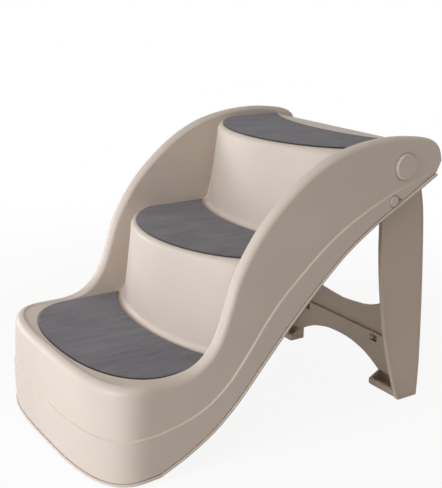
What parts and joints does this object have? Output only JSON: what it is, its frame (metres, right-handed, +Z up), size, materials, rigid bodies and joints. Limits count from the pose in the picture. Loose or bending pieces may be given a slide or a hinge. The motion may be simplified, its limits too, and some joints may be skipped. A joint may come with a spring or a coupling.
{
  "type": "folding pet stairs",
  "caption": "Folding pet stairs: a hollow moulded body with curved side rails and padded treads, and a hinged rear leg frame with push-button catches.",
  "frame": {"origin": "on the floor under the middle of the stairs' length and width", "axes": "+Y from the first step towards the platform, +X to the right of someone climbing, +Z up"},
  "size_m": [0.446, 0.665, 0.5],
  "materials": {
    "body_plastic": "fine moulded texture",
    "leg_plastic": "fine moulded texture",
    "tread_mat": "mottled short pile",
    "rubber": "matt",
    "steel": "zinc plated"
  },
  "bodies": {
    "stairs": {"stair_body": "body_plastic", "mat_lower": "tread_mat", "mat_middle": "tread_mat", "mat_top": "tread_mat", "base_pads": "rubber", "pivot_pin_left": "body_plastic", "pivot_pin_right": "body_plastic", "pivot_washers": "steel", "pivot_screws": "steel"},
    "leg_frame": {"left_leg": "leg_plastic", "right_leg": "leg_plastic", "brace_panel": "leg_plastic", "foot_pads": "rubber", "catch_left": "steel", "catch_right": "steel", "catch_screws": "steel"},
    "left_button": {"lock_button_left": "body_plastic"},
    "right_button": {"lock_button_right": "body_plastic"}
  },
  "joints": [
    {"name": "leg_fold", "type": "hinge", "parent": "stairs", "child": "leg_frame", "pos_m": [0, 0.2455, 0.447], "axis": [-1, 0, 0], "range_deg": [0, 52], "deforming": ["catch_left", "catch_right"]},
    {"name": "left_button_press", "type": "slide", "parent": "stairs", "child": "left_button", "axis": [1, 0, 0], "range_m": [0, 0.003], "stiffness_N_per_m": 300, "springref_m": -0.003},
    {"name": "right_button_press", "type": "slide", "parent": "stairs", "child": "right_button", "axis": [-1, 0, 0], "range_m": [0, 0.003], "stiffness_N_per_m": 300, "springref_m": -0.003}
  ]
}
